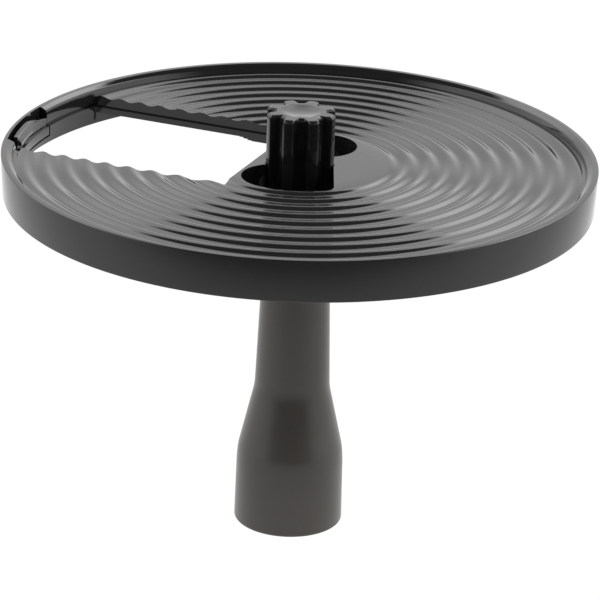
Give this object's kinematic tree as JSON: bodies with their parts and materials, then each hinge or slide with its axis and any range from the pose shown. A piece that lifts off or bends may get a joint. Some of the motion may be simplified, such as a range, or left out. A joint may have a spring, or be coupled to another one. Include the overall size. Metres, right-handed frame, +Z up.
{
  "type": "disc carrier",
  "caption": "Ridged round disc with an opening for a drop-in cutting insert, carried on a hollow drive stem with a fluted head.",
  "frame": {"origin": "centre of the stem's foot, on the surface it stands on", "axes": "+Z up along the drive axis towards the head; the insert opening lies along -X"},
  "size_m": [0.18, 0.18, 0.1338],
  "materials": {
    "disc_plastic": "moulded, glossy",
    "head_plastic": "moulded, glossy",
    "stem_plastic": "moulded, satin",
    "socket_plastic": "moulded, fine texture",
    "bush_plastic": "natural, machined",
    "screw_steel": "stainless",
    "seal_rubber": "matte"
  },
  "bodies": {
    "drive_stem": {"stem_tube": "stem_plastic", "drive_head": "head_plastic", "drive_socket": "socket_plastic", "spindle_bush": "bush_plastic", "screw_washer": "screw_steel", "head_screw": "screw_steel", "neck_seal": "seal_rubber"},
    "carrier": {"carrier_disc": "disc_plastic"},
    "latch": {"insert_latch": "disc_plastic"}
  },
  "joints": [
    {"name": "disc_lift", "type": "slide", "parent": "drive_stem", "child": "carrier", "axis": [0, 0, 1], "range_m": [0, 0.045]},
    {"name": "latch_flex", "type": "hinge", "parent": "carrier", "child": "latch", "pos_m": [-0.08608, -0.01034, 0.1115], "axis": [0.1193, -0.9929, 0], "range_deg": [0, 8], "stiffness_Nm_per_rad": 0.05}
  ]
}
